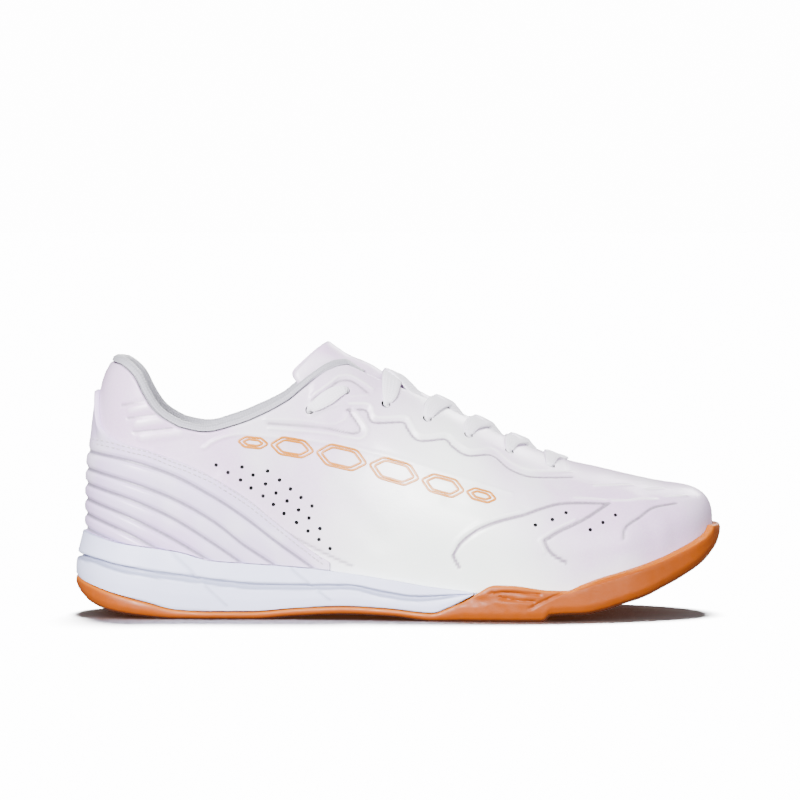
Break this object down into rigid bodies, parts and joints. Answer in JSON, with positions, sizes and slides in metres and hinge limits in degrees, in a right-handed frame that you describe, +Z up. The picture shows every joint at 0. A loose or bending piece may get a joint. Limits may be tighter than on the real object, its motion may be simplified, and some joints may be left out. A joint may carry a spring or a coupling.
{
  "type": "indoor soccer shoe",
  "caption": "Low-cut indoor soccer shoe for the right foot, with a pearl synthetic upper, ribbed heel counter, laced throat, white foam midsole and flat gum rubber outsole.",
  "frame": {"origin": "bottom centre of the shoe's box, on the floor under its sole", "axes": "+X from the heel to the toe, +Z up, -Y towards the outer (lateral) side of this right shoe"},
  "size_m": [0.28, 0.0959, 0.1192],
  "materials": {
    "gum_rubber": "matte gum rubber",
    "white_foam": "satin moulded foam",
    "pearl_synthetic": "pearly coated synthetic leather",
    "grey_lining": "satin knitted lining",
    "white_lace": "flat woven lace"
  },
  "bodies": {
    "root": {"outsole": "gum_rubber", "midsole": "white_foam", "upper": "pearl_synthetic", "heel_counter": "pearl_synthetic", "eyestay_lateral": "pearl_synthetic", "eyestay_medial": "pearl_synthetic", "collar_lining": "grey_lining", "tongue": "pearl_synthetic", "insole": "grey_lining", "lace_run_lateral": "white_lace", "lace_run_medial": "white_lace", "lace_bar_1": "white_lace", "lace_bar_2": "white_lace", "lace_bar_3": "white_lace", "lace_bar_4": "white_lace", "lace_bar_5": "white_lace"}
  },
  "joints": []
}
